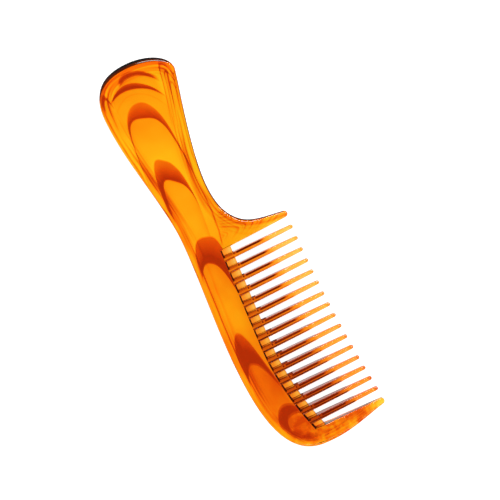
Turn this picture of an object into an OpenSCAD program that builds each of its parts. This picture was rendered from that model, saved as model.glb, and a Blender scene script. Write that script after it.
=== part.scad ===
// Hair comb with a handle, moulded in one piece.
// It lies flat: X runs from the handle's end to the nose, Y towards the tooth tips, Z is up.
// The origin is under the middle of the comb, on the face that it lies on.

/* [Handle] */
// Length of the handle and shoulder, from the end to the first gap
handle_length = 95.3; // [80:0.1:125]
// Width across the broad end of the handle
handle_end_width = 39.2; // [30:0.1:46]
// Width of the handle where it is narrowest
neck_width = 23.1; // [16:0.1:28]
// Distance from the neck to the first gap
neck_distance = 29.5; // [24:0.1:40]
// How far the middle of the handle's end lies below the root line
handle_drop = 6.7; // [4:0.1:10]
// Angle that the end of the handle curls up by
curl_angle = 20; // [1:1:30]
// Length of handle that curls
curl_length = 15; // [8:0.5:18]

/* [Head] */
// Depth of the spine from its back edge to the roots of the teeth, at the belly
spine_depth = 20.1; // [15:0.1:26]
// Depth of the same at the waist, beside the shoulder
waist_depth = 19.85; // [15:0.1:24]
// Depth of the band of ribs and thin webs behind the gaps
band_depth = 5.2; // [3:0.1:7]
// How far the root line sags at the belly
root_sag = 3; // [1:0.1:5]
// How far the root line rises at the nose
root_rise = 3.4; // [1:0.1:5]
// Length of the nose beyond the last gap
nose_length = 8.1; // [6:0.1:12]

/* [Teeth] */
// Number of thin teeth
tooth_count = 16; // [10:1:22]
// Spacing of the teeth
tooth_pitch = 5.82; // [4.6:0.01:7.4]
// Width of a tooth at its root
tooth_width = 2.66; // [1.8:0.01:3.4]
// Width of a tooth near its tip
tooth_tip_width = 2; // [1.4:0.01:2.4]
// Height of a tooth at its root, through the comb
tooth_height = 5.6; // [4.4:0.1:6.4]
// Height of a tooth near its tip
tooth_tip_height = 2.6; // [2.2:0.1:3.4]
// Share of a tooth that stays boxy before it turns round
boxy_share = 0.58; // [0.3:0.01:0.7]
// Distance from the first root to the lowest tooth tip
tooth_reach = 29.9; // [22:0.1:40]
// Radius of the shallow hollow that the tips lie on
tip_arc_radius = 640; // [400:10:2000]

/* [Guard teeth] */
// Distance from the first root to the tip of the rear guard tooth
rear_guard_reach = 30.6; // [24:0.1:40]
// Distance from the first root to the tip of the nose guard tooth
nose_guard_reach = 33.6; // [26:0.1:44]
// Width of both guard teeth near their tips
guard_tip_width = 3.1; // [2.4:0.1:4]
// Width of the rear guard tooth where it leaves the shoulder
rear_guard_width = 9.4; // [7:0.1:12]
// Height of that place above the first root
shoulder_rise = 9.4; // [6:0.1:12]
// Lean of the guard teeth's inner faces, over their length
guard_draft = 0.6; // [0:0.1:1]
// Thickness of the guard teeth at their tips
guard_tip_height = 3.2; // [2.4:0.1:4]

/* [Plastic] */
// Thickness of the handle and the spine
body_thickness = 7; // [6.6:0.1:9]
// Thickness of the webs between the ribs
web_thickness = 2.6; // [1.6:0.1:3.6]
// Radius on the edges of the body
edge_radius = 1.5; // [0.6:0.1:2]
// Radius on the edges of the thin teeth at their roots
tooth_edge_radius = 0.5; // [0.3:0.1:0.8]
// Radius on the inner faces of the guard teeth
guard_inner_radius = 1; // [0.4:0.1:1.2]

/* [Hidden] */
mid_z = body_thickness / 2;
amber = [0.95, 0.5, 0.05];
deep_amber = [0.82, 0.33, 0.05];
pale_amber = [1, 0.68, 0.25];

// Places of the deepest belly and the lowest tooth tip, as shares of the head's length
belly_share = 0.566;
low_tip_share = 0.26;
// Distances from the handle's end to where its front and back corners run straight
front_corner_length = 10.5;
back_corner_length = 19.3;
// How much narrower the nose is at its base than where it is fullest
nose_slack = 0.1;
// Drop of the back edge from the waist to the neck
neck_back_drop = 0.95;

// Places along X, from the middle of the first thin tooth
first_gap_x = tooth_width / 2 - tooth_pitch;
last_gap_x = tooth_count * tooth_pitch - tooth_width / 2;
head_length = last_gap_x - first_gap_x;
end_x = first_gap_x - handle_length;
neck_x = first_gap_x - neck_distance;
belly_x = first_gap_x + belly_share * head_length;
nose_x = last_gap_x + nose_length - nose_slack;
curl_x = end_x + curl_length;
curl_radius = curl_length * 180 / (PI * curl_angle);
low_tip_x = first_gap_x + low_tip_share * head_length;

// Number of straight steps in each stretch of outline
root_steps = 60;
handle_steps = 16;
corner_steps = 12;
shoulder_steps = 12;
guard_steps = 9;
tip_steps = 4;
fillet_steps = 4;

// Curves

function heading(angle) = [cos(angle), sin(angle)];

// A knot is a place, a heading, and how far the curve keeps to it before and after
function knot(x, y, angle, before = 0.33, after = 0.33) = [[x, y], heading(angle), before, after];

// One point of the cubic curve between two knots, with its heading there
function curve_point(a, b, t) =
    let (
        gap = norm(b[0] - a[0]),
        p = a[0] + a[1] * a[3] * gap,
        q = b[0] - b[1] * b[2] * gap,
        s = 1 - t,
        place = s * s * s * a[0] + 3 * s * s * t * p + 3 * s * t * t * q + t * t * t * b[0],
        along = s * s * (p - a[0]) + 2 * s * t * (q - p) + t * t * (b[0] - q)
    )
    [place, along / norm(along)];

function curve(a, b, steps, from = 0) = [for (i = [from:steps]) curve_point(a, b, i / steps)];

// Height of a computed line at a given x
function height_at(line, x) = lookup(x, [for (p = line) [p[0].x, p[0].y]]);

// The root line passes along the ends of the gaps, and the band lies behind it
root_start = knot(first_gap_x, 0, -3.4);
root_low = knot(belly_x, -root_sag, 0, 0.12, 0.36);
root_end = knot(last_gap_x, root_rise, 17);
root_line = concat(curve(root_start, root_low, root_steps), curve(root_low, root_end, root_steps, 1));
function root_y(x) = height_at(root_line, x);
function band_y(x) = root_y(x) - band_depth;
function tip_y(x) = tooth_reach + (x - low_tip_x) * (x - low_tip_x) / (2 * tip_arc_radius);

// Knots of the outline, anticlockwise from the rear guard tooth
handle_mid_y = -handle_drop;
handle_top_y = handle_mid_y + handle_end_width / 2;
handle_back_y = handle_mid_y - handle_end_width / 2;
neck_y = neck_width - waist_depth - neck_back_drop;
guard_top_y = rear_guard_reach - guard_tip_width / 2;
rear_tip_x = first_gap_x - guard_draft - guard_tip_width;
nose_base_y = band_y(last_gap_x);
nose_top_y = nose_guard_reach - guard_tip_width / 2;
nose_tip_x = last_gap_x + guard_draft + guard_tip_width;

rear_outer_tip = knot(rear_tip_x, guard_top_y, 259, 0.33, 0.34);
heel = knot(first_gap_x - rear_guard_width, shoulder_rise, 229, 0.33, 0.34);
neck_front = knot(neck_x, neck_y, 180, 0.39, 0.33);
front_corner = knot(end_x + front_corner_length, handle_top_y, 180, 0.05, 0.28);
handle_end = knot(end_x, handle_mid_y, 270, 0.43, 0.45);
back_corner = knot(end_x + back_corner_length, handle_back_y, 0, 0.52, 0.35);
neck_back = knot(neck_x, neck_y - neck_width, 7.5, 0.35, 0.34);
waist_back = knot(first_gap_x, -waist_depth, -3.5, 0.5, 0.32);
belly_back = knot(belly_x, -root_sag - spine_depth, 0, 0.32, 0.33);
nose_base = knot(nose_x, nose_base_y, 84, 0.38, 0.4);
nose_outer_tip = knot(nose_tip_x, nose_top_y, 101, 0.33, 0.33);

// Walls

// A wall point is a place, the way its rounded edge leans in, and half the thickness there
function round_point(p, radius, half) = [p[0], [-p[1].y, p[1].x] * radius, half];
function round_wall(points, radius, half) = [for (p = points) round_point(p, radius, half)];

// Where a wall is cut across, its rounded edge leans along the cut
function cut_point(p, cut, radius, half) =
    [p[0], cut * radius / (cut * [-p[1].y, p[1].x]), half];

// The rounded edge, from the lower land up to the upper one: share of the lean, and height
edge_profile = concat(
    [for (i = [0:fillet_steps]) let (a = 90 * i / fillet_steps) [1 - sin(a), -1, cos(a)]],
    [for (i = [0:fillet_steps]) let (a = 90 * i / fillet_steps) [1 - cos(a), 1, sin(a)]]
);
profile_count = len(edge_profile);

// The end of the handle follows an arc, so that its face looks up
function curled(x, y, z) =
    x >= curl_x ? [x, y, mid_z + z] :
    let (a = curl_angle * (curl_x - x) / curl_length)
    [curl_x - (curl_radius - z) * sin(a), y, mid_z + curl_radius - (curl_radius - z) * cos(a)];

function edge_point(w, step) =
    let (
        flat = w[0] + w[1] * step[0],
        fillet = min(edge_radius, w[2]),
        z = step[1] * (w[2] - fillet + fillet * step[2])
    )
    curled(flat.x, flat.y, z);

// A closed ring of wall points becomes a solid with two flat lands. Its first half runs one way
// along the piece and its second half runs back, and the lands join them pair by pair.
module moulding(walls) {
    count = len(walls);
    points = [for (w = walls) for (step = edge_profile) edge_point(w, step)];
    function at(i, k) = (i % count) * profile_count + k;
    sides = [for (i = [0:count - 1]) for (k = [0:profile_count - 2]) for (half = [0, 1])
        half == 0 ? [at(i, k), at(i, k + 1), at(i + 1, k + 1)]
                  : [at(i, k), at(i + 1, k + 1), at(i + 1, k)]];
    pairs = [for (i = [0:ceil(count / 2) - 2]) [i, i + 1, count - 2 - i, count - 1 - i]];
    lands = [for (p = pairs) for (k = [0, profile_count - 1]) for (half = [0, 1])
        let (
            corner = half == 0 ? [p[0], p[1], p[2]] : [p[0], p[2], p[3]],
            face = [for (c = corner) at(c, k)]
        )
        if (corner[0] != corner[1] && corner[1] != corner[2])
            k == 0 ? face : [face[2], face[1], face[0]]];
    polyhedron(points, concat(sides, lands));
}

// Outline of each sub-part

half_body = body_thickness / 2;
function body_wall(points) = round_wall(points, edge_radius, half_body);
function body_cut(p, cut) = cut_point(p, cut, edge_radius, half_body);
// A sharp upright face has no lean
function body_face(x, y) = [[x, y], [0, 0], half_body];
function without_last(list) = [for (i = [0:len(list) - 2]) list[i]];

// Up the inner face of a guard tooth the edge grows round over the first stretch
round_rise = [0, 1.5, 3.5];
function inner_radius(rise) = guard_inner_radius * min(1, rise / round_rise[2]);
function rear_inner_x(y) = first_gap_x - guard_draft * max(0, y) / guard_top_y;
function nose_inner_x(y) = last_gap_x + guard_draft * max(0, y - root_rise) / (nose_top_y - root_rise);
function rear_inner(y, half) = [[rear_inner_x(y), y], [-inner_radius(max(0, y)), 0], half];
function nose_inner(y, half) = [[nose_inner_x(y), y], [inner_radius(max(0, y - root_rise)), 0], half];

handle_walls = concat(
    [body_cut(curve_point(neck_front, front_corner, 0), [0, -1])],
    body_wall(curve(neck_front, front_corner, handle_steps, 1)),
    body_wall(curve(front_corner, handle_end, corner_steps, 1)),
    body_wall(curve(handle_end, back_corner, corner_steps, 1)),
    body_wall(without_last(curve(back_corner, neck_back, handle_steps, 1))),
    [body_cut(curve_point(back_corner, neck_back, 1), [0, 1])]
);

shoulder_front = concat(
    [body_face(first_gap_x, band_y(first_gap_x))],
    [for (rise = round_rise) rear_inner(rise, half_body)],
    [rear_inner(shoulder_rise, half_body)],
    [body_cut(curve_point(heel, neck_front, 0), [1, 0])],
    body_wall(without_last(curve(heel, neck_front, shoulder_steps, 1))),
    [body_cut(curve_point(heel, neck_front, 1), [0, -1])]
);
shoulder_back = curve(neck_back, waist_back, len(shoulder_front) - 1);
shoulder_walls = concat(
    shoulder_front,
    [body_cut(shoulder_back[0], [0, 1])],
    body_wall([for (i = [1:len(shoulder_back) - 2]) shoulder_back[i]]),
    [body_cut(shoulder_back[len(shoulder_back) - 1], [0, 1])]
);

// The spine's front wall steps down to the band, with a corner at each side of each rib
function tooth_x(i) = (i - 1) * tooth_pitch;
rib_edges = concat(
    [last_gap_x],
    [for (i = [tooth_count:-1:1]) for (side = [1, -1]) tooth_x(i) + side * tooth_width / 2],
    [first_gap_x]
);
belly_steps = tooth_count;
spine_walls = concat(
    [body_cut(curve_point(waist_back, belly_back, 0), [0, 1])],
    body_wall(curve(waist_back, belly_back, belly_steps, 1)),
    body_wall(without_last(curve(belly_back, nose_base, belly_steps + 1, 1))),
    [body_cut(curve_point(belly_back, nose_base, 1), [-1, 0])],
    [for (x = rib_edges) body_face(x, band_y(x))]
);

// The guard teeth grow thinner and narrower towards their tips
guard_tip_radius = 0.35 * guard_tip_width;
function blend(a, b, share) = a + (b - a) * share;
function guard_half(share) = blend(half_body, guard_tip_height / 2, share);
function guard_tip(x, y) = [for (i = [1:2 * tip_steps - 1])
    let (out = heading(90 * i / tip_steps))
    [[x, y] + out * guard_tip_width / 2, -out * guard_tip_radius, guard_half(1)]];

function rear_share(y) = max(0, (y - shoulder_rise) / (guard_top_y - shoulder_rise));
rear_outer = curve(rear_outer_tip, heel, guard_steps);
rear_guard_walls = concat(
    [for (i = [0:guard_steps])
        let (y = blend(shoulder_rise, guard_top_y, i / guard_steps))
        rear_inner(y, guard_half(rear_share(y)))],
    guard_tip(rear_tip_x + guard_tip_width / 2, guard_top_y),
    [for (p = without_last(rear_outer))
        let (share = rear_share(p[0].y))
        round_point(p, blend(edge_radius, guard_tip_radius, share), guard_half(share))],
    [body_cut(rear_outer[guard_steps], [1, 0])]
);

function nose_share(y) = (y - nose_base_y) / (nose_top_y - nose_base_y);
nose_outer = curve(nose_base, nose_outer_tip, guard_steps + 3);
nose_inner_ys = concat(
    [for (i = [0:guard_steps]) blend(nose_top_y, root_rise + round_rise[2], i / guard_steps)],
    [root_rise + round_rise[1], root_rise, nose_base_y]
);
nose_guard_walls = concat(
    [body_cut(nose_outer[0], [-1, 0])],
    [for (i = [1:guard_steps + 3])
        let (p = nose_outer[i], share = nose_share(p[0].y))
        round_point(p, blend(edge_radius, guard_tip_radius, share), guard_half(share))],
    guard_tip(nose_tip_x - guard_tip_width / 2, nose_top_y),
    [for (y = nose_inner_ys) nose_inner(y, guard_half(nose_share(y)))]
);

// The origin is under the middle of everything that is drawn
all_places = [for (walls = [handle_walls, spine_walls, rear_guard_walls, nose_guard_walls])
    for (w = walls) for (step = edge_profile) edge_point(w, step)];
all_x = [for (p = all_places) p.x];
all_y = [for (p = all_places) p.y];
centre = [(min(all_x) + max(all_x)) / 2, (min(all_y) + max(all_y)) / 2, 0];

// Thin teeth

// One section of a tooth: an upright rounded box, its ends square to Y unless skewed
section_steps = 4;
function tooth_section(x, y, skew, width, height, radius) =
    [for (corner = [0:3]) for (i = [0:section_steps])
        let (
            a = 90 * (corner + i / section_steps),
            right = corner == 0 || corner == 3 ? 1 : -1,
            up = corner < 2 ? 1 : -1,
            across = right * (width / 2 - radius) + radius * cos(a)
        )
        [x + across, y + across * skew, mid_z + up * (height / 2 - radius) + radius * sin(a)]];

// Closes a run of sections into a solid
module loft(sections) {
    size = len(sections[0]);
    last = (len(sections) - 1) * size;
    sides = [for (s = [0:len(sections) - 2]) for (i = [0:size - 1]) for (half = [0, 1])
        let (a = s * size + i, b = s * size + (i + 1) % size)
        half == 0 ? [a, b, b + size] : [a, b + size, a + size]];
    ends = [[for (i = [size - 1:-1:0]) i], [for (i = [0:size - 1]) last + i]];
    polyhedron([for (s = sections) each s], concat(sides, ends));
}

// Length over which a tooth turns from boxy to round
turn_length = 3;
// Corner radius of a round section as a share of its width, a hair under a half
round_share = 0.48;

module tooth(i) {
    x = tooth_x(i);
    left = x - tooth_width / 2;
    right = x + tooth_width / 2;
    root = max(root_y(left), root_y(right));
    tip_radius = tooth_tip_width / 2;
    tip = tip_y(x) - tip_radius;
    turn = blend(root, tip, boxy_share);
    function width_at(y) = blend(tooth_width, tooth_tip_width, pow((y - root) / (tip - root), 1.5));
    function height_at_y(y) = blend(tooth_height, tooth_tip_height, (y - root) / (tip - root));
    skew = (band_y(right) - band_y(left)) / tooth_width;
    rib = [for (end = [[(band_y(left) + band_y(right)) / 2, skew], [root, 0]])
        tooth_section(x, end[0], end[1], tooth_width, tooth_height, tooth_edge_radius)];
    boxy = [for (y = [blend(root, turn, 0.5), turn])
        tooth_section(x, y, 0, width_at(y), height_at_y(y), tooth_edge_radius)];
    conical = [for (y = [turn + turn_length, tip])
        tooth_section(x, y, 0, width_at(y), height_at_y(y), width_at(y) * round_share)];
    rounded = [for (a = [30, 60, 80])
        let (shrink = tooth_tip_width * (1 - cos(a)), width = tooth_tip_width - shrink)
        tooth_section(x, tip + tip_radius * sin(a), 0, width, tooth_tip_height - shrink,
            width * round_share)];
    color(pale_amber) translate(-centre) loft(concat(rib, boxy, conical, rounded));
}

// Sub-parts

module handle() {
    color(amber) translate(-centre) moulding(handle_walls);
}

module shoulder() {
    color(amber) translate(-centre) moulding(shoulder_walls);
}

module spine() {
    color(deep_amber) translate(-centre) moulding(spine_walls);
}

module rear_guard_tooth() {
    color(amber) translate(-centre) moulding(rear_guard_walls);
}

module nose_guard_tooth() {
    color(deep_amber) translate(-centre) moulding(nose_guard_walls);
}

// Thin webs tie the ribs together, one behind each gap
module root_webs() {
    color(pale_amber) translate(-centre)
        for (i = [0:tooth_count]) {
            left = i == 0 ? first_gap_x : tooth_x(i) + tooth_width / 2;
            right = i == tooth_count ? last_gap_x : tooth_x(i + 1) - tooth_width / 2;
            translate([0, 0, mid_z - web_thickness / 2])
                linear_extrude(web_thickness)
                    polygon([
                        [left, band_y(left)],
                        [right, band_y(right)],
                        [right, root_y(right)],
                        [left, root_y(left)]
                    ]);
        }
}

function tooth_name(i) = str("tooth_", i < 10 ? "0" : "", i);

handle();
shoulder();
spine();
root_webs();
rear_guard_tooth();
nose_guard_tooth();
for (i = [1:tooth_count]) tooth(i);
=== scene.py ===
import math

import bmesh
import bpy
import numpy as np
from mathutils import Matrix, Vector
from mathutils.geometry import delaunay_2d_cdt


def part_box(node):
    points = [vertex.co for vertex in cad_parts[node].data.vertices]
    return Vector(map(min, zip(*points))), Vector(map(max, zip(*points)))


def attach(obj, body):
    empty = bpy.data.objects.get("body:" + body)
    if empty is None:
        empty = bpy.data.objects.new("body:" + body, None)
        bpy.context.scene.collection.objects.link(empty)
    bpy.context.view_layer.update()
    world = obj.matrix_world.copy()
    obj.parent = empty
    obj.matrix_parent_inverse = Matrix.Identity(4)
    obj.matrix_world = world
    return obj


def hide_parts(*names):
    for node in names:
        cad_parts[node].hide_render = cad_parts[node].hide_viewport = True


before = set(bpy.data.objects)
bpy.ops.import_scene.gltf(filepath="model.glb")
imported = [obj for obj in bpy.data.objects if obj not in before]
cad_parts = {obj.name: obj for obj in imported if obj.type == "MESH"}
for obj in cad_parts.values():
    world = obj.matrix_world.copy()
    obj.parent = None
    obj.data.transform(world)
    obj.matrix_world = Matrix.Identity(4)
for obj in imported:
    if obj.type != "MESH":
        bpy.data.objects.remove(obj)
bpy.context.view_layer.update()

mm = 0.001  # one millimetre in scene units


def srgb(code):
    # A hex colour such as "ff9900" as linear red, green, blue and a full alpha
    values = [int(code[i:i + 2], 16) / 255 for i in (0, 2, 4)]
    return [v / 12.92 if v <= 0.04045 else ((v + 0.055) / 1.055) ** 2.4 for v in values] + [1]


def mix(a, b, share):
    return a + (b - a) * share


def clamp(value):
    return min(1.0, max(0.0, value))


def boxInMm(node):
    low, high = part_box(node)
    return Vector(low) / mm, Vector(high) / mm


# Places read from the frame, in millimetres
handleLow, handleHigh = boxInMm("handle")
shoulderLow, shoulderHigh = boxInMm("shoulder")
spineLow, spineHigh = boxInMm("spine")
websLow, websHigh = boxInMm("root_webs")
_, rearHigh = boxInMm("rear_guard_tooth")
noseLow, noseHigh = boxInMm("nose_guard_tooth")
toothNames = sorted(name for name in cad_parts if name.startswith("tooth_"))
print("frame read,", len(toothNames), "thin teeth")

# Sizes of the moulding in millimetres, the same as in the CAD model
comb = {
    "handleLength": 95.3,
    "neckDistance": 29.5,
    "neckWidth": 23.1,
    "waistDepth": 19.85,
    "rootSag": 3.0,
    "bellyShare": 0.566,  # of the way from the first gap to the last, where the back bulges most
    "bandDepth": 5.2,
    "noseLength": 8.1,
    "noseSlack": 0.1,  # the outline's last knot stops this far short of the nose's length
    "frontCornerLength": 10.5,  # how far the end's round corners reach along the front and the back
    "backCornerLength": 19.3,
    "shoulderRise": 9.4,
    "rearGuardWidth": 9.4,
    "guardTipWidth": 3.1,
    "guardTipHeight": 3.2,
    "guardDraft": 0.6,
    "guardTipRounding": 0.7,  # as a share of the tip's radius in plan
    "guardTipSteps": 12,
    "curlAngle": 20.0,
    "curlLength": 15.0,
    "edgeRadius": 1.5,
    "innerRadius": 1.0,  # on the guard teeth's inner faces
    "innerRise": 3.5,  # the stretch above the root over which those edges grow round
    "stepRadius": 0.2,  # where the body steps down to the webs
    "curveStep": 0.75,  # spacing of points along the outline
    "filletSteps": 6,
    "landStep": 1.3,  # spacing of points inside the flat faces
    "wallStep": 1.0,  # and along the guard teeth's inner faces
    "bandStep": 0.9,  # and along the step behind the webs
    "cornerGap": 0.3,  # the points beside a corner keep this far from it
    "seam": 0.02,  # clearance between a rib or web and its neighbours
}

midZ = spineHigh.z / 2
bodyHalf = midZ
tipRadius = comb["guardTipWidth"] / 2
tipRounding = comb["guardTipRounding"] * tipRadius
firstGapX, lastGapX = websLow.x, websHigh.x
rootZero = shoulderHigh.y - comb["shoulderRise"]
shoulderTop = shoulderHigh.y
bellyX = mix(firstGapX, lastGapX, comb["bellyShare"])
endX = firstGapX - comb["handleLength"]
hookX = firstGapX - comb["rearGuardWidth"] / 2 - 1  # just behind the rear guard tooth's middle
curlX = endX + comb["curlLength"]
curlRadius = comb["curlLength"] / math.radians(comb["curlAngle"])
rearTopY = rearHigh.y - tipRadius
noseTopY = noseHigh.y - tipRadius
noseBaseY = noseLow.y


def knot(x, y, angle, before=0.33, after=0.33):
    # A place, a heading, and how far the curve keeps to it on each side
    turn = math.radians(angle)
    return Vector((x, y)), Vector((math.cos(turn), math.sin(turn))), before, after


def curve(a, b, step=comb["curveStep"]):
    # Places and headings from knot a up to, and not with, knot b
    gap = (b[0] - a[0]).length
    p = a[0] + a[1] * a[3] * gap
    q = b[0] - b[1] * b[2] * gap
    count = max(4, round(gap / step))
    made = []
    for i in range(count):
        t = i / count
        s = 1 - t
        place = s ** 3 * a[0] + 3 * s * s * t * p + 3 * s * t * t * q + t ** 3 * b[0]
        along = s * s * (p - a[0]) + 2 * s * t * (q - p) + t * t * (b[0] - q)
        made.append((place, along.normalized()))
    return made


rootStart = knot(firstGapX, rootZero, -3.4)
rootLow = knot(bellyX, rootZero - comb["rootSag"], 0, 0.12, 0.36)
rootEnd = knot(lastGapX, websHigh.y, 17)
rootPlaces = [p for p, _ in curve(rootStart, rootLow) + curve(rootLow, rootEnd)] + [rootEnd[0]]


def rootY(x):
    return float(np.interp(x, [p.x for p in rootPlaces], [p.y for p in rootPlaces]))


def bandY(x):
    return rootY(x) - comb["bandDepth"]


outlineKnots = [
    knot(firstGapX - comb["guardDraft"] - 2 * tipRadius, rearTopY, 259, 0.33, 0.34),
    knot(firstGapX - comb["rearGuardWidth"], shoulderTop, 229, 0.33, 0.34),
    knot(firstGapX - comb["neckDistance"], shoulderLow.y + comb["neckWidth"], 180, 0.39, 0.33),
    knot(endX + comb["frontCornerLength"], handleHigh.y, 180, 0.05, 0.28),
    knot(endX, (handleLow.y + handleHigh.y) / 2, 270, 0.43, 0.45),
    knot(endX + comb["backCornerLength"], handleLow.y, 0, 0.52, 0.35),
    knot(firstGapX - comb["neckDistance"], shoulderLow.y, 7.5, 0.35, 0.34),
    knot(firstGapX, rootZero - comb["waistDepth"], -3.5, 0.5, 0.32),
    knot(bellyX, spineLow.y, 0, 0.32, 0.33),
    knot(lastGapX + comb["noseLength"] - comb["noseSlack"], noseBaseY, 84, 0.38, 0.4),
    knot(lastGapX + comb["guardDraft"] + 2 * tipRadius, noseTopY, 101, 0.33, 0.33),
]


def halfThickness(x, y):
    # Half the plastic's thickness, which falls along both guard teeth
    share = 0.0
    if x < firstGapX + 1 and y > shoulderTop:
        share = (y - shoulderTop) / (rearTopY - shoulderTop)
    elif x > lastGapX - 0.5 and y > noseBaseY:
        share = (y - noseBaseY) / (noseTopY - noseBaseY)
    return mix(bodyHalf, comb["guardTipHeight"] / 2, clamp(share))


def wallPoint(x, y, outward, radius):
    # A place on the outline, the way its rounded edge leans in, and half the thickness there
    return Vector((x, y)), -outward * radius, halfThickness(x, y)


def guardTip(x, y):
    # Half a turn round the end of a guard tooth, from its right side to its left
    steps = comb["guardTipSteps"]
    made = []
    for i in range(1, steps):
        turn = math.pi * i / steps
        out = Vector((math.cos(turn), math.sin(turn)))
        made.append(wallPoint(x + out.x * tipRadius, y + out.y * tipRadius, out, tipRounding))
    return made


def outerWall():
    # From the rear guard tooth's tip round the handle and the back to the nose's tip
    made = []
    for a, b in zip(outlineKnots, outlineKnots[1:]):
        for place, along in curve(a, b):
            share = (bodyHalf - halfThickness(*place)) / (bodyHalf - comb["guardTipHeight"] / 2)
            radius = mix(comb["edgeRadius"], tipRounding, share)
            made.append(wallPoint(*place, Vector((along.y, -along.x)), radius))
    last = outlineKnots[-1][0]
    made.append(wallPoint(last.x, last.y, Vector((1, 0)), tipRounding))
    return made


def innerWall():
    # Down the nose's inner face, back along the step behind the webs, and up the rear one's
    made = []
    gap = comb["cornerGap"]
    ys = np.arange(noseTopY, websHigh.y, -comb["wallStep"])
    for y in list(ys) + [websHigh.y + gap]:
        rise = y - websHigh.y
        x = lastGapX + comb["guardDraft"] * rise / (noseTopY - websHigh.y)
        radius = mix(comb["stepRadius"], comb["innerRadius"], clamp(rise / comb["innerRise"]))
        made.append(wallPoint(x, y, Vector((-1, 0)), radius))
    step = comb["stepRadius"]
    for y in np.linspace(websHigh.y - 0.5, bandY(lastGapX) + 2 * gap, 5):
        made.append(wallPoint(lastGapX, y, Vector((-1, 0)), step))
    made.append(wallPoint(lastGapX, bandY(lastGapX), Vector((-1, 1)), step))
    for x in np.arange(lastGapX - comb["bandStep"], firstGapX + 0.5, -comb["bandStep"]):
        made.append(wallPoint(x, bandY(x), Vector((0, 1)), step))
    made.append(wallPoint(firstGapX, bandY(firstGapX), Vector((1, 1)), step))
    for y in np.linspace(bandY(firstGapX) + 2 * gap, rootZero - gap, 6):
        made.append(wallPoint(firstGapX, y, Vector((1, 0)), step))
    for y in np.arange(rootZero + gap, rearTopY, comb["wallStep"]):
        rise = y - rootZero
        x = firstGapX - comb["guardDraft"] * rise / (rearTopY - rootZero)
        radius = mix(step, comb["innerRadius"], clamp(rise / comb["innerRise"]))
        made.append(wallPoint(x, y, Vector((1, 0)), radius))
    return made


def curled(x, y, z):
    # The end of the handle follows an arc, so that its face looks up. z is from the mid plane.
    if x >= curlX:
        return Vector((x, y, midZ + z))
    turn = (curlX - x) / curlRadius
    reach = curlRadius - z
    return Vector((curlX - reach * math.sin(turn), y, midZ + curlRadius - reach * math.cos(turn)))


# The dark swirls follow the way the plastic flowed into the mould: places on the middle of that
# stream, in millimetres, with half its width there
flowLine = [
    (-100, -10.4, 17.5), (-84, -10.6, 19.2), (-60, -11.8, 15), (-34, -12.9, 11.7), (-4, -16, 8.2),
    (24, -18.2, 7.5), (50, -19.3, 7.5), (72, -18.2, 7.8), (84, -15.4, 7.2), (92, -10, 6),
    (95.8, -3, 4.6), (96, 8, 3.6), (94, 29, 1.8),
]


def smoothLine(points, count):
    # Even points on a Catmull-Rom curve through the given ones
    p = np.array([points[0]] + list(points) + [points[-1]], float)
    made = []
    for a, b, c, d in zip(p, p[1:], p[2:], p[3:]):
        for t in np.linspace(0, 1, count, endpoint=False):
            made.append(0.5 * (2 * b + (c - a) * t + (2 * a - 5 * b + 4 * c - d) * t * t
                               + (3 * b - a - 3 * c + d) * t ** 3))
    return np.array(made + [p[-1]])


def nearest(places, line):
    # Distance from each place to a line, its side of it, the nearest span and the share along it
    start, span = line[:-1], np.diff(line, axis=0)
    square = np.maximum((span ** 2).sum(1), 1e-12)
    away = places[:, None, :] - start[None]
    share = np.clip((away * span).sum(2) / square, 0, 1)
    distance = np.linalg.norm(away - share[..., None] * span, axis=2)
    pick = distance.argmin(1)
    rows = np.arange(len(places))
    side = np.sign(span[pick, 0] * away[rows, pick, 1] - span[pick, 1] * away[rows, pick, 0])
    return distance[rows, pick], side, pick, share[rows, pick]


def flowPlace(places):
    # Distance along the flow, and across it as a share of the stream's half width
    line = smoothLine(flowLine, 12)
    away, side, pick, share = nearest(places, line[:, :2])
    lengths = np.concatenate([[0], np.cumsum(np.linalg.norm(np.diff(line[:, :2], axis=0), axis=1))])
    half = line[pick, 2] + (line[pick + 1, 2] - line[pick, 2]) * share
    along = lengths[pick] + (lengths[pick + 1] - lengths[pick]) * share
    return along, side * away / half


def giveAttribute(mesh, name, values):
    layer = mesh.attributes.new(name, "FLOAT", "POINT")
    layer.data.foreach_set("value", np.asarray(values, np.float32))


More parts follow.
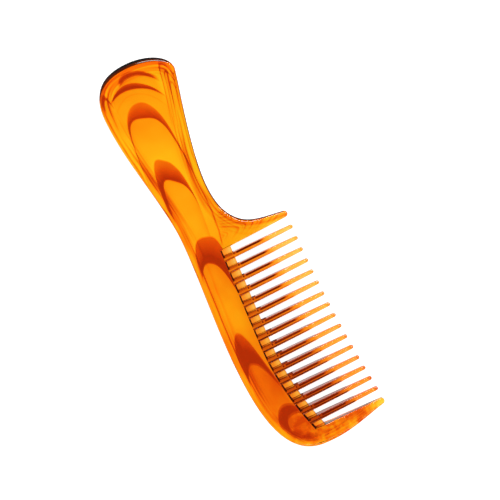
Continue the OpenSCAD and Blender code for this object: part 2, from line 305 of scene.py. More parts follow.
def buildBody():
    outer = outerWall()
    tipNose = guardTip(lastGapX + comb["guardDraft"] + tipRadius, noseTopY)
    inner = innerWall()
    tipRear = guardTip(firstGapX - comb["guardDraft"] - tipRadius, rearTopY)
    walls = outer + tipNose + inner + tipRear
    steps = comb["filletSteps"]
    turns = [math.pi / 2 * i / steps for i in range(steps + 1)]
    profile = [(1 - math.sin(a), -1, math.cos(a)) for a in turns]
    profile += [(1 - math.cos(a), 1, math.sin(a)) for a in turns]

    flats, points = [], []
    for place, lean, half in walls:
        for share, side, rise in profile:
            fillet = min(comb["edgeRadius"], lean.length, half)
            flat = place + lean * share
            flats.append((flat.x, flat.y))
            points.append(curled(flat.x, flat.y, side * (half - fillet + fillet * rise)))
    size = len(profile)
    count = len(walls)
    faces = []
    for i in range(count):
        after = (i + 1) % count
        for k in range(size - 1):
            faces.append((i * size + k, i * size + k + 1, after * size + k + 1, after * size + k))

    # Both flat faces share one plan triangulation
    ring = [place + lean for place, lean, _ in walls]
    outline = np.array([place for place, _, _ in walls] + [walls[0][0]], float)
    step = comb["landStep"]
    xs = np.arange(endX, lastGapX + comb["noseLength"], step)
    ys = np.arange(handleLow.y, noseHigh.y, step)
    grid = np.array([(x + (j % 2) * step / 2, y) for j, y in enumerate(ys) for x in xs])
    grid = grid[nearest(grid, outline)[0] > comb["edgeRadius"] + 0.45 * step]
    edges = [(i, (i + 1) % count) for i in range(count)]
    found = delaunay_2d_cdt(ring + [Vector(p) for p in grid], edges, [], 1, 1e-5)
    places, triangles, sources = found[0], found[2], found[3]
    for side, k in ((-1, 0), (1, size - 1)):
        index = []
        for place, source in zip(places, sources):
            if source and source[0] < count:
                index.append(source[0] * size + k)
                continue
            index.append(len(points))
            flats.append((place.x, place.y))
            points.append(curled(place.x, place.y, side * halfThickness(place.x, place.y)))
        for face in triangles:
            corners = [index[c] for c in face]
            faces.append(corners if side > 0 else corners[::-1])

    mesh = bpy.data.meshes.new("comb_body")
    mesh.from_pydata([p * mm for p in points], [], faces)
    flats = np.array(flats, float)
    along, across = flowPlace(flats)
    outerLine = np.array([place for place, _, _ in outer], float)
    # How squarely each place on the outline faces the handle's end, which places the painted shade on
    # the end face
    facing = [clamp((lean.x / lean.length - 0.2) / 0.6) * (place.x < curlX) for place, lean, _ in outer]
    inset, _, pick, _ = nearest(flats, outerLine)
    giveAttribute(mesh, "flowAlong", along)
    giveAttribute(mesh, "flowAcross", across)
    giveAttribute(mesh, "edgeInset", inset)
    giveAttribute(mesh, "endFacing", np.array(facing)[pick])
    return finishMesh(mesh)


def finishMesh(mesh, sharpAngle=38):
    work = bmesh.new()
    work.from_mesh(mesh)
    bmesh.ops.delete(work, geom=[v for v in work.verts if not v.link_faces], context="VERTS")
    bmesh.ops.recalc_face_normals(work, faces=work.faces)
    work.to_mesh(mesh)
    work.free()
    mesh.shade_smooth()
    mesh.set_sharp_from_angle(angle=math.radians(sharpAngle))
    piece = bpy.data.objects.new(mesh.name, mesh)
    bpy.context.scene.collection.objects.link(piece)
    smooth = piece.modifiers.new("even_shading", "WEIGHTED_NORMAL")
    smooth.keep_sharp = True
    return piece


# The thin teeth are boxy at the root and turn round towards the tip
tooth = {
    "width": 2.66,
    "tipWidth": 2.0,
    "height": 5.6,
    "tipHeight": 2.6,
    "edgeRadius": 0.5,
    "boxyShare": 0.58,
    "turnLength": 3.0,  # over which the boxy part turns round
    "cornerSteps": 5,
    "sectionStep": 1.2,
    "ribSteps": 5,
    "roundShare": 0.49,  # of its width that the round part has as its radius
    "tipAngles": (20, 40, 55, 70, 82),  # degrees round the end at which it has a section
}


def toothSection(x, y, skew, width, height, radius):
    # An upright rounded box, square to the tooth unless skewed
    made = []
    for corner in range(4):
        right = 1 if corner in (0, 3) else -1
        up = 1 if corner < 2 else -1
        for i in range(tooth["cornerSteps"] + 1):
            turn = math.pi / 2 * (corner + i / tooth["cornerSteps"])
            across = right * (width / 2 - radius) + radius * math.cos(turn)
            rise = up * (height / 2 - radius) + radius * math.sin(turn)
            made.append((x + across, y + across * skew, midZ + rise, across * 2 / width))
    return made


def buildTooth(name):
    low, high = boxInMm(name)
    x = (low.x + high.x) / 2
    width, tipWidth = tooth["width"], tooth["tipWidth"]
    left, right = x - width / 2, x + width / 2
    root = max(rootY(left), rootY(right))
    tip = high.y - tipWidth / 2
    turn = mix(root, tip, tooth["boxyShare"])
    skew = (bandY(right) - bandY(left)) / width
    ribStart = (bandY(left) + bandY(right)) / 2 + comb["seam"]

    def sectionAt(y, slant=0.0):
        share = clamp((y - root) / (tip - root))
        wide = mix(width, tipWidth, share ** 1.5)
        tall = mix(tooth["height"], tooth["tipHeight"], share)
        turned = clamp((y - turn) / tooth["turnLength"])
        turned = turned * turned * (3 - 2 * turned)
        radius = mix(tooth["edgeRadius"], tooth["roundShare"] * wide, turned)
        return toothSection(x, y, slant, wide, tall, radius)

    shares = [i / tooth["ribSteps"] for i in range(tooth["ribSteps"])]
    sections = [sectionAt(mix(ribStart, root, share), mix(skew, 0, share)) for share in shares]
    ys = np.linspace(root, tip, round((tip - root) / tooth["sectionStep"]))
    sections += [sectionAt(y) for y in ys]
    for angle in tooth["tipAngles"]:
        shrink = tipWidth * (1 - math.cos(math.radians(angle)))
        wide = tipWidth - shrink
        y = tip + tipWidth / 2 * math.sin(math.radians(angle))
        tall = tooth["tipHeight"] - shrink
        sections.append(toothSection(x, y, 0, wide, tall, tooth["roundShare"] * wide))

    size = len(sections[0])
    points = [p for section in sections for p in section]
    faces = []
    for s in range(len(sections) - 1):
        for i in range(size):
            a, b = s * size + i, s * size + (i + 1) % size
            faces.append((a, b, b + size, a + size))
    last = (len(sections) - 1) * size
    faces.append(tuple(range(size))[::-1])
    faces.append(tuple(last + i for i in range(size)))
    mesh = bpy.data.meshes.new("comb_" + name)
    mesh.from_pydata([Vector(p[:3]) * mm for p in points], [], faces)
    giveAttribute(mesh, "toothAlong", [(p[1] - root) / (tip - root) for p in points])
    giveAttribute(mesh, "toothAcross", [p[3] for p in points])
    giveAttribute(mesh, "rowShare", [(p[0] - firstGapX) / (lastGapX - firstGapX) for p in points])
    return finishMesh(mesh)


web = {
    "frontRadius": 0.35,
    "steps": 6,  # spans along each web
}


def buildWebs():
    # One web behind each gap, between the ribs
    edges = [firstGapX]
    for name in toothNames:
        low, high = boxInMm(name)
        edges += [(low.x + high.x - tooth["width"]) / 2, (low.x + high.x + tooth["width"]) / 2]
    edges.append(lastGapX)
    low, high = websLow.z, websHigh.z
    seam = comb["seam"]
    work = bmesh.new()
    alongLayer = work.verts.layers.float.new("toothAlong")
    acrossLayer = work.verts.layers.float.new("toothAcross")
    steps = web["steps"]
    for left, right in zip(edges[::2], edges[1::2]):
        rings = []
        for i in range(steps + 1):
            ring = []
            for x, z, side in ((left + seam, low, -1), (right - seam, low, 1),
                               (right - seam, high, 1), (left + seam, high, -1)):
                y = mix(bandY(x) + seam, rootY(x), i / steps)
                vert = work.verts.new(Vector((x, y, z)) * mm)
                vert[alongLayer] = i / steps
                vert[acrossLayer] = side
                ring.append(vert)
            rings.append(ring)
        for a, b in zip(rings, rings[1:]):
            for k in range(4):
                work.faces.new((a[k], a[(k + 1) % 4], b[(k + 1) % 4], b[k]))
        work.faces.new(rings[0][::-1])
        work.faces.new(rings[-1])
    # Round the two level edges of the front face
    ends = [e for e in work.edges if all(v[alongLayer] > 0.99 for v in e.verts)]
    front = [e for e in ends if abs(e.verts[0].co.z - e.verts[1].co.z) < 1e-6]
    bmesh.ops.bevel(work, geom=front, offset=web["frontRadius"] * mm, segments=3, affect="EDGES",
                    profile=0.5)
    mesh = bpy.data.meshes.new("comb_root_webs")
    work.to_mesh(mesh)
    work.free()
    places = [v.co.x / mm for v in mesh.vertices]
    giveAttribute(mesh, "rowShare", [(x - firstGapX) / (lastGapX - firstGapX) for x in places])
    return finishMesh(mesh)


body = buildBody()
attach(body, "root")
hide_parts("handle", "shoulder", "spine", "rear_guard_tooth", "nose_guard_tooth")
teeth = []
for name in toothNames:
    piece = buildTooth(name)
    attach(piece, "root")
    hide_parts(name)
    teeth.append(piece)
webs = buildWebs()
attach(webs, "root")
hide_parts("root_webs")
print("meshes built:", len(body.data.vertices), "points in the body,", len(teeth), "teeth")


def addNode(tree, kind, inputs=(), stops=(), **settings):
    # Adds a node, sets its settings, and links or fills its inputs, by place or by name. A ramp's
    # stops are (position, colour), and a colour may be a plain grey value.
    node = tree.nodes.new("ShaderNode" + kind)
    for key, value in settings.items():
        setattr(node, key, value)
    for i, (position, colour) in enumerate(stops):
        elements = node.color_ramp.elements
        element = elements[i] if i < len(elements) else elements.new(position)
        element.position = position
        element.color = (colour, colour, colour, 1) if isinstance(colour, float) else colour
    for key, value in inputs.items() if isinstance(inputs, dict) else enumerate(inputs):
        if isinstance(value, bpy.types.Node):
            value = value.outputs[0]
        if isinstance(value, bpy.types.NodeSocket):
            tree.links.new(value, node.inputs[key])
        else:
            node.inputs[key].default_value = value
    return node


# Cellulose acetate with dark pigment folded in, injection moulded and tumble polished: clear
# amber that deepens with thickness, red-brown where the pigment gathered, and a wet shine
plastic = {
    "bodyPigmentAndShade": [
        (0.00, srgb("fff0c0")),
        (0.15, srgb("ffe295")),
        (0.32, srgb("ffc466")),
        (0.50, srgb("fb983a")),
        (0.68, srgb("e4602a")),
        (0.84, srgb("c44026")),
        # the darkest stop is reached only by the painted shade of the end face and the front edges
        (1.00, srgb("1c0406")),
    ],
    "thinPigmentAndShade": [
        (0.00, srgb("ffd8c4")),
        (0.20, srgb("ffbc80")),
        (0.40, srgb("f99a44")),
        (0.62, srgb("d0602c")),
        # the stops from here on are reached only by painted shade on the teeth and webs
        (0.80, srgb("9c2c12")),
        (0.92, srgb("480804")),
        (1.00, srgb("1c0406")),
    ],
    "absorption": (12.0, 70.0, 600.0),  # of red, green and blue, for each metre of plastic
    "roughness": 0.03,
    "ior": 1.49,
    # Sizes of the patterns, in millimetres
    "driftLength": 20.0,  # of the slow wander of every front and streak, and how far they wander
    "driftAmount": 3.0,
    "grainWidth": 1.1,  # between the fine streaks beside the edges
    "grainStretch": 0.03,  # how quickly those streaks change along the flow
    "backLineInset": 3.1,  # of the red line that follows the back edge
    "hookWidth": 10.0,  # of the nested hooks in the shoulder, and how far back their legs run
    "hookDepth": 9.0,
    "hookSpacing": 1.9,
    "mottleWidth": 6.0,  # between the pale patches of the nose
    "endShadeDepth": 1.1,  # of the painted shade, near black, inside the end face
    "rippleDepth": 0.02,  # of the moulded surface
    "mostPigment": 0.86,  # in any tongue or streak, so that none turns black
}

# Amounts that change along the flow: where the change starts and ends, in millimetres from the
# handle's end, and the amount before and after it
alongFlow = {
    "edgeClear": (50.0, 80.0, 2.0, 0.0),
    "streakDepth": (50.0, 95.0, 0.5, 0.2),
    "backLine": (62.0, 80.0, 0.0, 1.0),
    "neckLine": (60.0, 86.0, 0.68, 1.06),  # its place across the flow, not its strength
    "shoulderHooks": (88.0, 92.0, 1.0, 0.0),
    "noseBrown": (105.0, 170.0, 0.0, 0.22),
    "noseMottle": (172.0, 200.0, 0.0, 1.0),
    "spineWarmth": (60.0, 95.0, 0.15, 0.29),
    "endWarmth": (2.0, 12.0, 0.16, 0.0),
}

# Tongues of pigment, each pushed towards the handle's end by the plastic that followed it. A
# front is its tip along the flow in millimetres, its centre and half width across the flow as
# shares of the stream, its reach back at that width, its bluntness, and how much it slants.
# Each tongue has an outer front, an inner one, a strength and the length of its trails.
tongues = [
    ((3.4, 0.10, 0.36, 2.4, 2.2, 5.0), (5.4, 0.10, 0.32, 2.2, 2.2, 5.0), 0.76, 5.0),
    ((7.8, -0.08, 0.40, 3.0, 2.2, 4.5), (11.0, -0.08, 0.42, 2.2, 2.2, 4.5), 0.82, 12.0),
    ((13.2, -0.08, 0.42, 3.4, 2.2, 4.5), (14.0, -0.08, 0.42, 3.4, 2.2, 4.5), 0.34, 12.0),
    ((17.6, -0.16, 0.50, 11.0, 2.5, 0.0), (25.6, -0.13, 0.50, 7.0, 3.2, 6.0), 0.68, 48.0),
    ((46.0, -0.13, 0.52, 13.0, 3.0, 12.0), (57.6, -0.08, 0.50, 7.0, 4.0, 10.0), 0.72, 68.0),
    ((86.0, 0.22, 0.76, 7.0, 3.6, 0.0), (98.8, 0.10, 0.50, 3.0, 2.5, 4.0), 0.66, 26.0),
    ((134.5, 0.10, 0.66, 12.0, 2.2, 7.0), (150.5, 0.10, 0.55, 5.0, 2.5, 3.0), 0.54, 30.0),
    ((175.6, 0.40, 0.75, 4.0, 2.2, 0.0), (181.8, 0.45, 0.70, 4.0, 2.5, 0.0), 0.52, 25.0),
    ((5.0, 0.78, 0.19, 12.0, 2.2, 0.0), (6.4, 0.78, 0.18, 12.0, 2.2, 0.0), 0.52, 34.0),
    ((9.0, 0.79, 0.14, 11.0, 2.2, 0.0), (10.4, 0.79, 0.13, 11.0, 2.2, 0.0), 0.46, 30.0),
    ((14.0, 0.80, 0.10, 10.0, 2.2, 0.0), (15.4, 0.80, 0.09, 10.0, 2.2, 0.0), 0.42, 26.0),
    ((8.0, -0.80, 0.12, 6.0, 2.0, 9.0), (10.6, -0.79, 0.10, 5.0, 2.0, 9.0), 0.62, 7.0),
]


def startMaterial(name):
    material = bpy.data.materials.new(name)
    material.use_nodes = True
    tree = material.node_tree
    tree.nodes.clear()
    return material, tree


def finishPlastic(tree, pigmentAndShade, colours, height):
    # The amount of pigment and painted shade sets the colour, and a constant absorption deepens it with
    # thickness
    colour = addNode(tree, "ValToRGB", [pigmentAndShade], stops=colours)
    ripple = plastic["rippleDepth"] * mm
    bump = addNode(tree, "Bump", {"Height": height, "Strength": 0.5, "Distance": ripple})
    shader = addNode(tree, "BsdfPrincipled", {
        "Base Color": colour,
        "Roughness": plastic["roughness"],
        "IOR": plastic["ior"],
        "Transmission Weight": 1.0,
        "Normal": bump,
    })
    density = max(plastic["absorption"])
    kept = [1 - amount / density for amount in plastic["absorption"]]
    volume = addNode(tree, "VolumeAbsorption", {"Color": (*kept, 1), "Density": density})
    addNode(tree, "OutputMaterial", {"Surface": shader, "Volume": volume})


def addFront(tree, along, across, front):
    # Millimetres behind a front that bows towards the handle's end, and how far back it bows
    tip, centre, halfWidth, reach, bluntness, slant = front
    offset = addNode(tree, "Math", [across, centre], operation="SUBTRACT")
    outward = addNode(tree, "Math", [offset], operation="ABSOLUTE")
    outward = addNode(tree, "Math", [outward, halfWidth], operation="DIVIDE")
    bow = addNode(tree, "Math", [outward, bluntness], operation="POWER")
    bow = addNode(tree, "Math", [bow, reach], operation="MULTIPLY")
    behind = addNode(tree, "Math", [along, tip], operation="SUBTRACT")
    behind = addNode(tree, "Math", [behind, bow], operation="SUBTRACT")
    return addNode(tree, "Math", [offset, -slant, behind], operation="MULTIPLY_ADD"), bow


def addTongue(tree, along, across, outerFront, innerFront, strength, trail):
    # Pigment thickens from the outer front to the inner one, drops there, and fades behind it
    outer, bow = addFront(tree, along, across, outerFront)
    inner, _ = addFront(tree, along, across, innerFront)
    band = addNode(tree, "Math", [outer, inner], operation="SUBTRACT")
    band = addNode(tree, "Math", [band, 0.4], operation="MAXIMUM")
    share = addNode(tree, "Math", [outer, band], operation="DIVIDE", use_clamp=True)
    dark = addNode(tree, "ValToRGB", [share], stops=[
        (0.0, 0.55 * strength), (0.6, 0.8 * strength), (1.0, strength)])
    lobe = addNode(tree, "MapRange", [inner, 0.0, 22.0, 0.26 * strength, 0.0])
    inside = addNode(tree, "MapRange", [inner, -0.3, 1.0, 0.0, 1.0], interpolation_type="SMOOTHSTEP")
    made = addNode(tree, "Mix", {"Factor": inside, "A": dark, "B": lobe})
    reached = addNode(tree, "MapRange", [outer, 0.0, 1.1, 0.0, 1.0], interpolation_type="SMOOTHSTEP")
    made = addNode(tree, "Math", [made, reached], operation="MULTIPLY")
    kept = addNode(tree, "MapRange", [bow, 0.35 * trail, trail, 1.0, 0.0],
                   interpolation_type="SMOOTHSTEP")
    return addNode(tree, "Math", [made, kept], operation="MULTIPLY")


def bodyPlastic():
    material, tree = startMaterial("moulded_tortoiseshell_acetate")
    along = addNode(tree, "Attribute", attribute_name="flowAlong").outputs["Fac"]
    across = addNode(tree, "Attribute", attribute_name="flowAcross").outputs["Fac"]
    inset = addNode(tree, "Attribute", attribute_name="edgeInset").outputs["Fac"]
    facing = addNode(tree, "Attribute", attribute_name="endFacing").outputs["Fac"]

    # Slow drift that keeps every front and streak from running true
    driftPlace = addNode(tree, "Math", [along, 1 / plastic["driftLength"]], operation="MULTIPLY")
    driftAcross = addNode(tree, "Math", [across, 0.6], operation="MULTIPLY")
    driftPlace = addNode(tree, "CombineXYZ", [driftPlace, driftAcross])
    drift = addNode(tree, "TexNoise", {"Vector": driftPlace, "Scale": 1.0, "Detail": 2.0})
    drift = addNode(tree, "Math", [drift, 0.5], operation="SUBTRACT")
    wavering = addNode(tree, "Math", [drift, plastic["driftAmount"], along], operation="MULTIPLY_ADD")

    pigmentAndShade = None
    for tongue in tongues:
        made = addTongue(tree, wavering, across, *tongue)
        if pigmentAndShade:
            made = addNode(tree, "Math", [pigmentAndShade, made], operation="MAXIMUM")
        pigmentAndShade = made
    # The plastic beside the edges stays clear of the tongues
    clear = addNode(tree, "MapRange", [along, *alongFlow["edgeClear"]])
    clear = addNode(tree, "Math", [inset, clear], operation="ADD")
    clear = addNode(tree, "MapRange", [clear, 1.2, 3.6, 0.0, 1.0], interpolation_type="SMOOTHSTEP")
    pigmentAndShade = addNode(tree, "Math", [pigmentAndShade, clear], operation="MULTIPLY")

    # Fine streaks beside the edges, drawn out along the flow
    streakAlong = addNode(tree, "Math", [along, plastic["grainStretch"]], operation="MULTIPLY")
    streakAcross = addNode(tree, "Math", [inset, plastic["grainWidth"]], operation="DIVIDE")
    streakAcross = addNode(tree, "Math", [drift, 1.4, streakAcross], operation="MULTIPLY_ADD")
    streakPlace = addNode(tree, "CombineXYZ", [streakAlong, streakAcross])
    streak = addNode(tree, "TexNoise", {"Vector": streakPlace, "Scale": 0.8, "Detail": 2.5})
    streak = addNode(tree, "MapRange", [streak, 0.42, 0.62, 0.0, 1.0], interpolation_type="SMOOTHSTEP")
    depth = addNode(tree, "MapRange", [along, *alongFlow["streakDepth"]])
    streak = addNode(tree, "Math", [streak, depth], operation="MULTIPLY")
    border = addNode(tree, "MapRange", [inset, 3.8, 8.0, 1.0, 0.0], interpolation_type="SMOOTHSTEP")
    pigmentAndShade = addNode(tree, "Math", [streak, border, pigmentAndShade], operation="MULTIPLY_ADD")

    # One red line that follows the back edge from the neck to the nose
    line = addNode(tree, "Math", [drift, 0.7, inset], operation="MULTIPLY_ADD")
    line = addNode(tree, "Math", [line, plastic["backLineInset"]], operation="SUBTRACT")
    line = addNode(tree, "Math", [line], operation="ABSOLUTE")
    line = addNode(tree, "MapRange", [line, 0.1, 0.5, 0.3, 0.0], interpolation_type="SMOOTHSTEP")
    backSide = addNode(tree, "MapRange", [across, -0.45, -0.2, 1.0, 0.0])
    pastNeck = addNode(tree, "MapRange", [along, *alongFlow["backLine"]])
    line = addNode(tree, "Math", [line, backSide], operation="MULTIPLY")
    pigmentAndShade = addNode(tree, "Math", [line, pastNeck, pigmentAndShade], operation="MULTIPLY_ADD")

    # Another down the front of the neck to the first gap
    neckLine = addNode(tree, "MapRange", [along, *alongFlow["neckLine"]])
    line = addNode(tree, "Math", [across, neckLine], operation="SUBTRACT")
    line = addNode(tree, "Math", [drift, 0.2, line], operation="MULTIPLY_ADD")
    line = addNode(tree, "Math", [line], operation="ABSOLUTE")
    line = addNode(tree, "MapRange", [line, 0.01, 0.07, 0.3, 0.0], interpolation_type="SMOOTHSTEP")
    alongNeck = addNode(tree, "Math", [along, 0.01], operation="MULTIPLY")  # 1 at 100 mm
    alongNeck = addNode(tree, "ValToRGB", [alongNeck], stops=[
        (0.58, 0.0), (0.7, 1.0), (0.91, 1.0), (0.94, 0.0)])
    pigmentAndShade = addNode(tree, "Math", [line, alongNeck, pigmentAndShade], operation="MULTIPLY_ADD")

    # Browner towards the nose, away from the edges
    brown = addNode(tree, "MapRange", [along, *alongFlow["noseBrown"]],
                    interpolation_type="SMOOTHSTEP")
    deep = addNode(tree, "MapRange", [inset, 3.0, 4.2, 0.0, 1.0], interpolation_type="SMOOTHSTEP")
    pigmentAndShade = addNode(tree, "Math", [brown, deep, pigmentAndShade], operation="MULTIPLY_ADD")

    # Nested hooks in the shoulder, where the flow turned up into the rear guard tooth
    place = addNode(tree, "TexCoord").outputs["Object"]
    apart = addNode(tree, "SeparateXYZ", [place])
    hook = addNode(tree, "Math", [apart.outputs["X"], hookX * mm], operation="SUBTRACT")
    hook = addNode(tree, "Math", [hook, plastic["hookWidth"] / 2 * mm], operation="DIVIDE")
    hook = addNode(tree, "Math", [hook], operation="ABSOLUTE")
    hook = addNode(tree, "Math", [hook, 1.5], operation="POWER")
    hook = addNode(tree, "Math", [hook, plastic["hookDepth"] * mm], operation="MULTIPLY")
    hook = addNode(tree, "Math", [hook, apart.outputs["Y"]], operation="ADD")
    hook = addNode(tree, "Math", [hook, plastic["hookSpacing"] * mm], operation="DIVIDE")
    hook = addNode(tree, "Math", [drift, 0.9, hook], operation="MULTIPLY_ADD")
    hook = addNode(tree, "CombineXYZ", [hook])  # only the way across the hooks changes the noise
    hook = addNode(tree, "TexNoise", {"Vector": hook, "Scale": 1.0, "Detail": 1.0})
    hook = addNode(tree, "MapRange", [hook, 0.46, 0.6, 0.0, 0.26], interpolation_type="SMOOTHSTEP")
    inShoulder = addNode(tree, "MapRange", [across, 1.0, 1.35, 0.0, 1.0],
                         interpolation_type="SMOOTHSTEP")
    beforeTeeth = addNode(tree, "MapRange", [along, *alongFlow["shoulderHooks"]])
    hook = addNode(tree, "Math", [hook, inShoulder], operation="MULTIPLY")
    pigmentAndShade = addNode(tree, "Math", [hook, beforeTeeth, pigmentAndShade], operation="MULTIPLY_ADD")

    # Mottled gold over the nose
    scale = 1 / (plastic["mottleWidth"] * mm)
    mottle = addNode(tree, "TexNoise", {"Vector": place, "Scale": scale, "Detail": 3.0})
    mottle = addNode(tree, "MapRange", [mottle, 0.42, 0.6, 0.2, -0.16], interpolation_type="SMOOTHSTEP")
    onNose = addNode(tree, "MapRange", [along, *alongFlow["noseMottle"]])
    pigmentAndShade = addNode(tree, "Math", [mottle, onNose, pigmentAndShade], operation="MULTIPLY_ADD")

    # A faint warmth everywhere, deeper along the spine and beside the handle's end
    warmth = addNode(tree, "MapRange", [along, *alongFlow["spineWarmth"]],
                     interpolation_type="SMOOTHSTEP")
    pigmentAndShade = addNode(tree, "Math", [pigmentAndShade, warmth], operation="ADD")
    warmth = addNode(tree, "MapRange", [along, *alongFlow["endWarmth"]])
    pigmentAndShade = addNode(tree, "Math", [pigmentAndShade, warmth], operation="ADD")
    pigmentAndShade = addNode(tree, "Math", [drift, 0.3, pigmentAndShade], operation="MULTIPLY_ADD")
    pigmentAndShade = addNode(tree, "Math", [pigmentAndShade, plastic["mostPigment"]], operation="MINIMUM")

    # Painted shade: the end face is painted almost black for the dark it reflects and bends from the
    # room, and a fine dark line is painted along the front edges for the dark their rounded edges show
    endFaceShade = addNode(tree, "Math", [facing, plastic["endShadeDepth"]], operation="MULTIPLY")
    endFaceShade = addNode(tree, "Math", [endFaceShade, inset], operation="SUBTRACT")
    endFaceShade = addNode(tree, "MapRange", [endFaceShade, 0.0, 0.3, 0.0, 1.0], interpolation_type="SMOOTHSTEP")
    frontEdgeShade = addNode(tree, "MapRange", [inset, 0.15, 0.6, 0.7, 0.0], interpolation_type="SMOOTHSTEP")
    front = addNode(tree, "MapRange", [across, -0.1, 0.1, 0.0, 1.0])
    frontEdgeShade = addNode(tree, "Math", [frontEdgeShade, front], operation="MULTIPLY")
    pigmentAndShade = addNode(tree, "Math", [pigmentAndShade, frontEdgeShade], operation="ADD")
    pigmentAndShade = addNode(tree, "Math", [pigmentAndShade, endFaceShade], operation="MAXIMUM")
    finishPlastic(tree, pigmentAndShade, plastic["bodyPigmentAndShade"], drift)
    return material


def toothPlastic():
    material, tree = startMaterial("moulded_tortoiseshell_acetate_teeth")
    along = addNode(tree, "Attribute", attribute_name="toothAlong").outputs["Fac"]
    across = addNode(tree, "Attribute", attribute_name="toothAcross").outputs["Fac"]
    row = addNode(tree, "Attribute", attribute_name="rowShare").outputs["Fac"]
    place = addNode(tree, "MapRange", [along, -0.2, 1.0, 0.0, 1.0])
    side = addNode(tree, "MapRange", [across, -1.0, 1.0, 0.0, 1.0])
    # Along the tooth: darker in the boxy part than the round part, and darker at the very tip as
    # painted shade of its rounded end
    base = addNode(tree, "ValToRGB", [place], stops=[
        (0.0, 0.34), (0.15, 0.34), (0.2, 0.38), (0.58, 0.28), (0.7, 0.06), (0.96, 0.05), (1.0, 0.25)])
    # Browner towards the nose
    base = addNode(tree, "Math", [row, 0.38, base], operation="MULTIPLY_ADD")
    # Painted shade: a dark streak down the -X half of each tooth, from the root to about halfway, for
    # the dark that refraction shows there
    streak = addNode(tree, "ValToRGB", [side], stops=[
        (0.0, 0.0), (0.08, 0.8), (0.14, 0.93), (0.42, 0.93), (0.55, 0.0), (1.0, 0.0)])
    reach = addNode(tree, "ValToRGB", [place], stops=[
        (0.155, 0.0), (0.163, 1.0), (0.175, 1.0), (0.19, 0.6), (0.21, 1.0), (0.54, 1.0), (0.66, 0.0)])
    streak = addNode(tree, "Math", [streak, reach], operation="MULTIPLY")
    # Painted shade: both sides of each tooth are painted darker, for the dark their rounded walls show
    outline = addNode(tree, "ValToRGB", [side], stops=[
        (0.0, 0.7), (0.1, 0.45), (0.2, 0.0), (0.78, 0.0), (0.9, 0.55), (1.0, 0.85)])
    # Painted shade: behind the gaps the rib is painted dark beside the webs, for the shade between the
    # parts, with a light line along its middle
    ribShade = addNode(tree, "ValToRGB", [side], stops=[
        (0.0, 0.92), (0.12, 0.72), (0.45, 0.58), (0.6, 0.3), (0.75, 0.52), (1.0, 0.88)])
    atRib = addNode(tree, "ValToRGB", [place], stops=[(0.0, 1.0), (0.15, 1.0), (0.18, 0.0)])
    ribShade = addNode(tree, "Math", [ribShade, atRib], operation="MULTIPLY")
    # Painted shade: a black dot in the corner where each rib meets the step
    stepCornerShade = addNode(tree, "ValToRGB", [place], stops=[(0.0, 1.0), (0.043, 1.0), (0.053, 0.0)])
    dotSide = addNode(tree, "ValToRGB", [side], stops=[(0.0, 1.0), (0.3, 1.0), (0.4, 0.0)])
    stepCornerShade = addNode(tree, "Math", [stepCornerShade, dotSide], operation="MULTIPLY")
    pigmentAndShade = base
    for layer in (streak, ribShade, outline, stepCornerShade):
        pigmentAndShade = addNode(tree, "Math", [pigmentAndShade, layer], operation="MAXIMUM")
    finishPlastic(tree, pigmentAndShade, plastic["thinPigmentAndShade"], across)
    return material


def webPlastic():
    material, tree = startMaterial("moulded_tortoiseshell_acetate_webs")
    along = addNode(tree, "Attribute", attribute_name="toothAlong").outputs["Fac"]
    row = addNode(tree, "Attribute", attribute_name="rowShare").outputs["Fac"]
    # Painted shade: dark where the web starts at the step, and darker again at its rounded front edge
    base = addNode(tree, "ValToRGB", [along], stops=[
        (0.0, 1.0), (0.08, 1.0), (0.13, 0.34), (0.4, 0.26), (0.8, 0.04), (0.93, 0.1), (1.0, 0.5)])
    base = addNode(tree, "Math", [row, 0.14, base], operation="MULTIPLY_ADD")
    # Painted shade, darker where it meets the ribs
    across = addNode(tree, "Attribute", attribute_name="toothAcross").outputs["Fac"]
    side = addNode(tree, "Math", [across], operation="ABSOLUTE")
    side = addNode(tree, "MapRange", [side, 0.5, 1.0, 0.03, 0.3])
    base = addNode(tree, "Math", [base, side], operation="ADD")
    finishPlastic(tree, base, plastic["thinPigmentAndShade"], along)
    return material


body.data.materials.append(bodyPlastic())
teethPlastic = toothPlastic()
for piece in teeth:
    piece.data.materials.append(teethPlastic)
webs.data.materials.append(webPlastic())
print("materials built")


# Light table, lamps and camera, with lengths in metres
studio = {
    "floorWidth": 3.0,
    "floorDrop": 0.0003,  # the table's top is just below the comb
    "wallHeight": 0.7,
    "stripMargin": 0.005,  # how far the mirrored strip runs past the nose's tip
    "glow": 1.0,
    "ambient": 0.05,
    "cameraTilt": 6.0,  # degrees from straight above, towards the handle's end
    "cameraTurn": 64.0,  # degrees from level that the comb lies in the frame
    "cameraDistance": 0.48,
    "cameraTarget": (0.00159, 0.00369, 0.0035),
    "cameraLens": 74.0,  # millimetres, on a sensor 36 mm wide
    # name, place, size and watts of each softbox
    "softboxes": [
        ("head_softbox", (0.62, 0.1, 0.78), (0.8, 0.2), 1.5),
        ("end_softbox", (-0.72, 0.66, 0.45), (1.3, 0.35), 20),
    ],
}


def rectangle(low, high, z):
    return [(low[0], low[1], z), (high[0], low[1], z), (high[0], high[1], z), (low[0], high[1], z)]


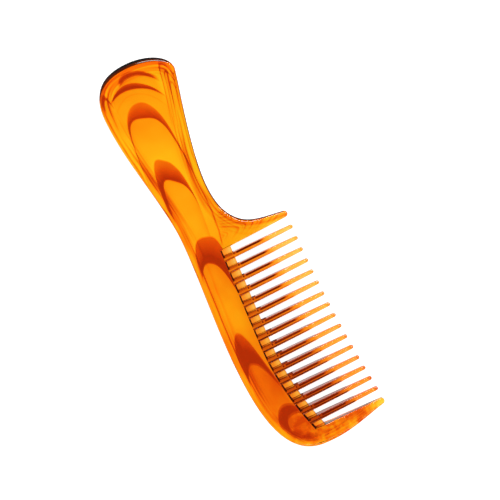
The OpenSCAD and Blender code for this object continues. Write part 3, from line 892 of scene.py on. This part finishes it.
def buildTable():
    # Opal acrylic sheet lit from below: an even white with no visible grain
    material, tree = startMaterial("opal_acrylic_light_table")
    shader = addNode(tree, "BsdfPrincipled", {
        "Base Color": srgb("b4b4b4"),
        "Roughness": 0.7,
        "Emission Color": srgb("ffffff"),
        "Emission Strength": studio["glow"],
    })
    addNode(tree, "OutputMaterial", {"Surface": shader})
    z = -studio["floorDrop"]
    half = studio["floorWidth"] / 2
    ring = rectangle((-half, -half), (half, half), z)
    addStage("light_table", ring, [(0, 1, 2, 3)], material, False)
    # The comb mirrors only this strip, between and before its teeth, and the dark room elsewhere
    front = noseHigh.y * mm + studio["stripMargin"]
    strip = rectangle((firstGapX * mm, rootZero * mm), (lastGapX * mm, front), z / 2)
    addStage("light_table_strip", strip, [(0, 1, 2, 3)], material, True)
    # A low pale wall round the table closes the view behind it
    wall = ring + rectangle((-half, -half), (half, half), studio["wallHeight"])
    faces = [(i, (i + 1) % 4, (i + 1) % 4 + 4, i + 4) for i in range(4)]
    addStage("light_wall", wall, faces, material, False)


def addStage(name, points, faces, material, mirrored):
    mesh = bpy.data.meshes.new(name)
    mesh.from_pydata(points, [], faces)
    mesh.materials.append(material)
    sheet = bpy.data.objects.new(name, mesh)
    bpy.context.scene.collection.objects.link(sheet)
    sheet.visible_glossy = mirrored


def buildSoftbox(name, place, size, power):
    lamp = bpy.data.lights.new(name, "AREA")
    lamp.shape = "RECTANGLE"
    lamp.size, lamp.size_y = size
    lamp.energy = power
    holder = bpy.data.objects.new(name, lamp)
    bpy.context.scene.collection.objects.link(holder)
    holder.location = place
    holder.rotation_euler = (-Vector(place)).to_track_quat("-Z", "Y").to_euler()


def buildCamera():
    # Almost straight above, leaning a little towards the handle, turned so that the comb stands up
    tilt = math.radians(studio["cameraTilt"])
    turn = math.radians(studio["cameraTurn"])
    level = Vector((math.cos(tilt), 0, math.sin(tilt)))
    back = Vector((-math.sin(tilt), 0, math.cos(tilt)))
    right = level * math.cos(turn) + Vector((0, math.sin(turn), 0))
    up = Vector((0, math.cos(turn), 0)) - level * math.sin(turn)
    data = bpy.data.cameras.new("camera")
    data.lens = studio["cameraLens"]
    data.sensor_width = 36.0
    data.clip_start = 0.01
    holder = bpy.data.objects.new("camera", data)
    bpy.context.scene.collection.objects.link(holder)
    place = Vector(studio["cameraTarget"]) + back * studio["cameraDistance"]
    rows = [(right[i], up[i], back[i], place[i]) for i in range(3)] + [(0, 0, 0, 1)]
    holder.matrix_world = Matrix(rows)
    bpy.context.scene.camera = holder


buildTable()
for softbox in studio["softboxes"]:
    buildSoftbox(*softbox)
buildCamera()
world = bpy.data.worlds.new("studio")
world.use_nodes = True
world.node_tree.nodes["Background"].inputs[0].default_value = (1, 1, 1, 1)
world.node_tree.nodes["Background"].inputs[1].default_value = studio["ambient"]
bpy.context.scene.world = world
bpy.context.scene.view_settings.view_transform = "Standard"
print("studio built")
